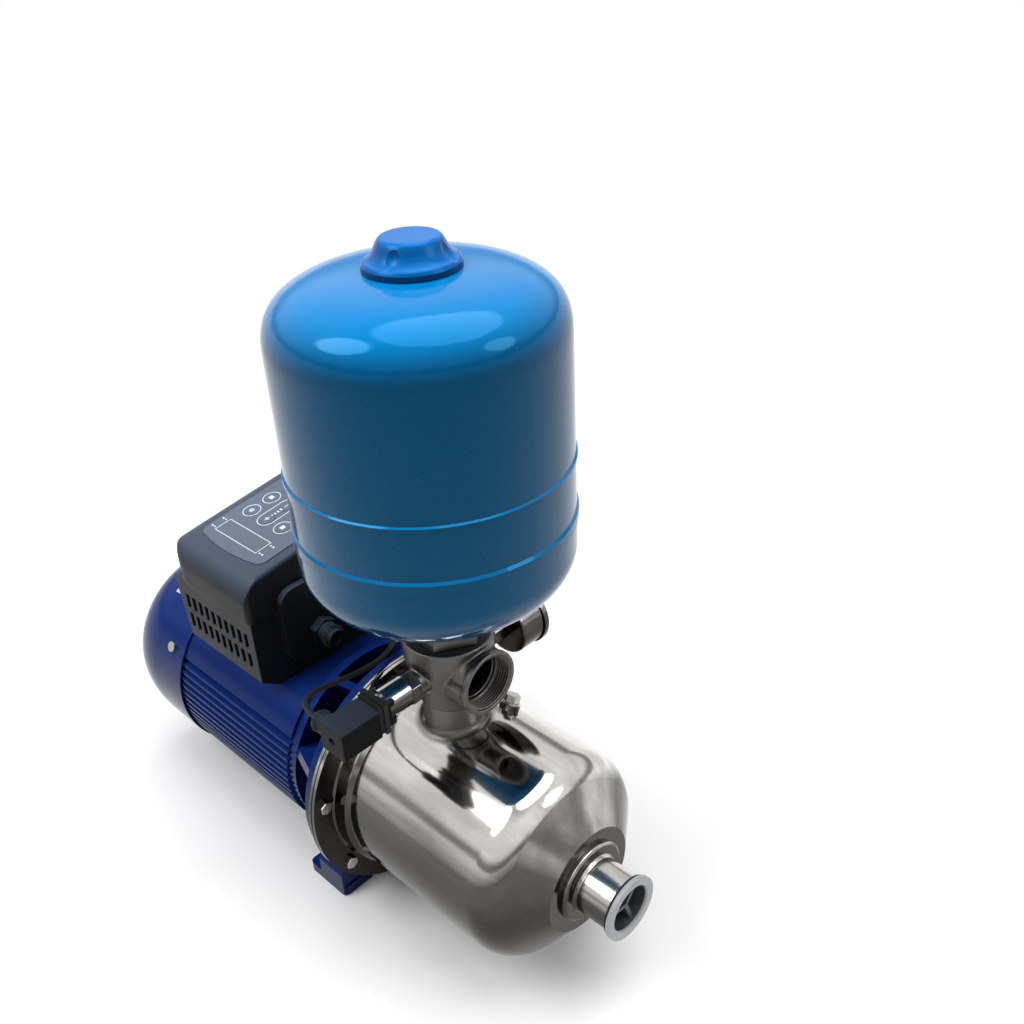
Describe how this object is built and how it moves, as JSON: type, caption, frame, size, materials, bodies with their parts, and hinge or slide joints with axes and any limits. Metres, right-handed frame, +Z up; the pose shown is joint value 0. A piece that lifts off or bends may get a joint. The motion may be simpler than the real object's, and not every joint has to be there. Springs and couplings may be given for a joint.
{
  "type": "booster pump",
  "caption": "Horizontal multistage water booster: finned motor with speed controller and keypad, polished steel pump end, outlet fitting carrying pressure tank, transmitter and gauge.",
  "frame": {"origin": "on the floor, midway between the foot's two bolt holes", "axes": "+X runs along the shaft toward the inlet, +Y across toward the gauge, +Z up along the tank"},
  "size_m": [0.559, 0.2255, 0.5835],
  "materials": {
    "motor_frame": "extruded aluminium frame, painted deep blue, gloss",
    "stator_core": "stacked electrical steel",
    "stator_windings": "enamelled copper, varnished",
    "rotor_core": "stacked steel with cast end rings",
    "shaft": "ground steel",
    "shaft_bearings": "bearing steel, sealed",
    "rear_end_shield": "die-cast aluminium, painted deep blue, gloss",
    "fan_cover": "pressed sheet, painted deep blue, gloss",
    "fan_cover_screws": "plated steel",
    "cooling_fan": "moulded plastic, black",
    "motor_bracket": "cast aluminium, painted deep blue, gloss",
    "motor_screws": "zinc plated steel",
    "foot": "cast aluminium, painted deep blue, gloss",
    "foot_screws": "zinc plated steel",
    "seal_cover": "pressed stainless steel",
    "casing_gasket": "black rubber",
    "seal_seat": "ceramic seat, ivory",
    "seal_rotor": "rubber bellows and carbon ring",
    "pump_casing": "polished stainless steel",
    "casing_plugs": "stainless steel",
    "casing_bolts": "stainless steel",
    "inlet_socket": "turned stainless steel",
    "inlet_plug": "white moulded plastic",
    "inlet_seal": "black rubber",
    "stage_chambers": "pressed stainless steel",
    "impellers": "pressed stainless steel",
    "shaft_spacers": "stainless steel",
    "impeller_nut": "stainless steel",
    "discharge_ring": "pressed stainless steel",
    "suction_ring": "pressed stainless steel",
    "five_way_fitting": "cast stainless steel, satin",
    "tank_adaptor": "turned stainless steel",
    "tank_lower_shell": "drawn steel, sky blue gloss paint",
    "tank_upper_shell": "drawn steel, sky blue gloss paint",
    "tank_diaphragm": "moulded rubber",
    "air_valve": "turned brass",
    "tank_cap": "moulded plastic, blue",
    "transmitter_body": "turned and polished steel",
    "connector_seal": "moulded rubber",
    "connector_housing": "moulded plastic, black",
    "connector_gland": "moulded plastic, black",
    "signal_cable": "black sheath",
    "gauge_stem": "turned brass",
    "gauge_case": "pressed steel, black enamel",
    "gauge_dial": "printed white dial plate",
    "gauge_pointer": "black painted aluminium",
    "gauge_bezel": "crimped bright ring",
    "gauge_window": "clear window",
    "controller_base": "moulded plastic, black, fine grain",
    "controller_lid": "moulded plastic, black, fine grain",
    "controller_glands": "moulded plastic, black",
    "heat_sink": "extruded aluminium",
    "circuit_boards": "glass fibre boards with parts",
    "keypad_overlay": "printed plastic film, grey-blue",
    "keys": "printed plastic film over a dome, grey-blue"
  },
  "bodies": {
    "pump": {"motor_frame": "motor_frame", "stator_core": "stator_core", "stator_windings": "stator_windings", "shaft_bearings": "shaft_bearings", "rear_end_shield": "rear_end_shield", "fan_cover": "fan_cover", "fan_cover_screws": "fan_cover_screws", "motor_bracket": "motor_bracket", "motor_screws": "motor_screws", "foot": "foot", "foot_screws": "foot_screws", "seal_cover": "seal_cover", "casing_gasket": "casing_gasket", "seal_seat": "seal_seat", "pump_casing": "pump_casing", "casing_plugs": "casing_plugs", "casing_bolts": "casing_bolts", "inlet_socket": "inlet_socket", "stage_chambers": "stage_chambers", "discharge_ring": "discharge_ring", "suction_ring": "suction_ring", "five_way_fitting": "five_way_fitting", "tank_adaptor": "tank_adaptor", "tank_lower_shell": "tank_lower_shell", "tank_upper_shell": "tank_upper_shell", "tank_diaphragm": "tank_diaphragm", "air_valve": "air_valve", "transmitter_body": "transmitter_body", "connector_seal": "connector_seal", "connector_housing": "connector_housing", "connector_gland": "connector_gland", "signal_cable": "signal_cable", "gauge_stem": "gauge_stem", "gauge_case": "gauge_case", "gauge_dial": "gauge_dial", "gauge_bezel": "gauge_bezel", "gauge_window": "gauge_window", "controller_base": "controller_base", "controller_lid": "controller_lid", "controller_glands": "controller_glands", "heat_sink": "heat_sink", "circuit_boards": "circuit_boards", "keypad_overlay": "keypad_overlay"},
    "rotor": {"shaft": "shaft", "rotor_core": "rotor_core", "cooling_fan": "cooling_fan", "impellers": "impellers", "shaft_spacers": "shaft_spacers", "impeller_nut": "impeller_nut", "seal_rotor": "seal_rotor"},
    "key_run": {"key_run": "keys"},
    "key_mode": {"key_mode": "keys"},
    "key_stop": {"key_stop": "keys"},
    "key_set": {"key_set": "keys"},
    "key_plus": {"key_plus": "keys"},
    "key_minus": {"key_minus": "keys"},
    "tank_cap": {"tank_cap": "tank_cap"},
    "inlet_plug": {"inlet_plug": "inlet_plug", "inlet_seal": "inlet_seal"},
    "gauge_pointer": {"gauge_pointer": "gauge_pointer"}
  },
  "joints": [
    {"name": "shaft_spin", "type": "hinge", "parent": "pump", "child": "rotor", "pos_m": [0, 0, 0.113], "axis": [1, 0, 0], "continuous": true},
    {"name": "key_run_press", "type": "slide", "parent": "pump", "child": "key_run", "axis": [0, 0.1478, -0.989], "range_m": [0, 0.0004], "stiffness_N_per_m": 1500},
    {"name": "key_mode_press", "type": "slide", "parent": "pump", "child": "key_mode", "axis": [0, 0.1478, -0.989], "range_m": [0, 0.0004], "stiffness_N_per_m": 1500},
    {"name": "key_stop_press", "type": "slide", "parent": "pump", "child": "key_stop", "axis": [0, 0.1478, -0.989], "range_m": [0, 0.0004], "stiffness_N_per_m": 1500},
    {"name": "key_set_press", "type": "slide", "parent": "pump", "child": "key_set", "axis": [0, 0.1478, -0.989], "range_m": [0, 0.0004], "stiffness_N_per_m": 1500},
    {"name": "key_plus_press", "type": "slide", "parent": "pump", "child": "key_plus", "axis": [0, 0.1478, -0.989], "range_m": [0, 0.0004], "stiffness_N_per_m": 1500},
    {"name": "key_minus_press", "type": "slide", "parent": "pump", "child": "key_minus", "axis": [0, 0.1478, -0.989], "range_m": [0, 0.0004], "stiffness_N_per_m": 1500},
    {"name": "tank_cap_lift", "type": "slide", "parent": "pump", "child": "tank_cap", "axis": [0, 0, 1], "range_m": [0, 0.06]},
    {"name": "inlet_plug_pull", "type": "slide", "parent": "pump", "child": "inlet_plug", "axis": [1, 0, 0], "range_m": [0, 0.05]},
    {"name": "gauge_pointer_turn", "type": "hinge", "parent": "pump", "child": "gauge_pointer", "pos_m": [0.1145, 0.078, 0.2526], "axis": [0, -1, 0], "range_deg": [0, 270], "stiffness_Nm_per_rad": 0.0002}
  ]
}
